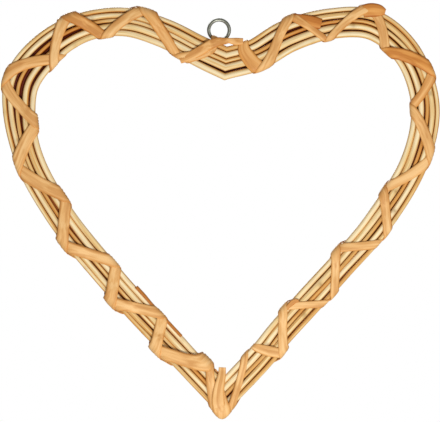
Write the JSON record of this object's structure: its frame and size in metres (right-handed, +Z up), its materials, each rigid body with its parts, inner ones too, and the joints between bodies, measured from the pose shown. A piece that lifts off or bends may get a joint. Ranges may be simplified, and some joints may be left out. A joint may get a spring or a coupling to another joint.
{
  "type": "wicker heart",
  "caption": "Open heart of willow canes side by side, bound with flat peel strips, with a small steel hanging ring at the notch.",
  "frame": {"origin": "inside top of the hanging ring, where a hook or nail bears", "axes": "+X to the heart's right as seen from the front, +Z up, front towards -Y"},
  "size_m": [0.3024, 0.0159, 0.2877],
  "materials": {
    "cane": "satin",
    "peel": "satin",
    "steel": "satin"
  },
  "bodies": {
    "root": {"cane_front_1": "cane", "cane_front_2": "cane", "cane_front_3": "cane", "cane_front_4": "cane", "cane_front_5": "cane", "cane_back_1": "cane", "cane_back_2": "cane", "cane_back_3": "cane", "cane_back_4": "cane", "binding_left": "peel", "binding_right": "peel", "binding_tip": "peel", "binding_tail": "peel", "hanging_ring": "steel"}
  },
  "joints": []
}
